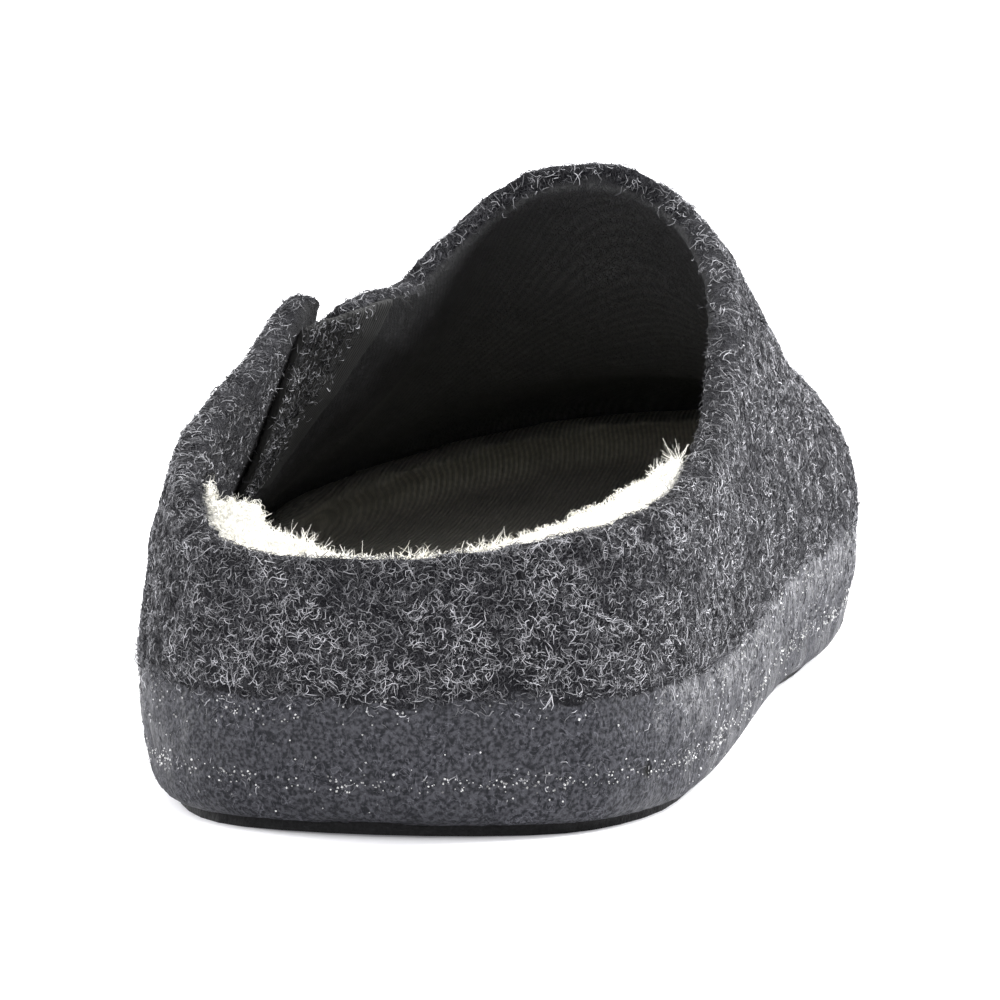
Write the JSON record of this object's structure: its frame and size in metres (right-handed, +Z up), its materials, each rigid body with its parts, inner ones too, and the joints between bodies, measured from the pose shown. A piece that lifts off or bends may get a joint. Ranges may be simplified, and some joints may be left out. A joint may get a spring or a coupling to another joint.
{
  "type": "felt slipper",
  "caption": "Left felt slipper with a low open heel, a slit with an elastic gore on its outer side, a rubber-coated sole, a ribbed footbed and white fleece round the heel",
  "frame": {"origin": "on the floor, in the middle of the slipper's box in length and width", "axes": "+X to the inner side of the foot, +Y from heel to toe, +Z up"},
  "size_m": [0.1006, 0.275, 0.0873],
  "materials": {
    "felt": "charcoal heather wool felt with pale grey fibres",
    "coat": "dark slate rubber coating over felt, satin with small bumps",
    "tread_rubber": "black rubber",
    "footbed_cloth": "dark brown-black ribbed cloth",
    "elastic": "black ribbed elastic",
    "fleece": "warm white pile"
  },
  "bodies": {
    "root": {"upper": "felt", "sole_cup": "coat", "outsole": "tread_rubber", "footbed": "footbed_cloth", "gore": "elastic", "fleece_lining": "fleece"}
  },
  "joints": []
}
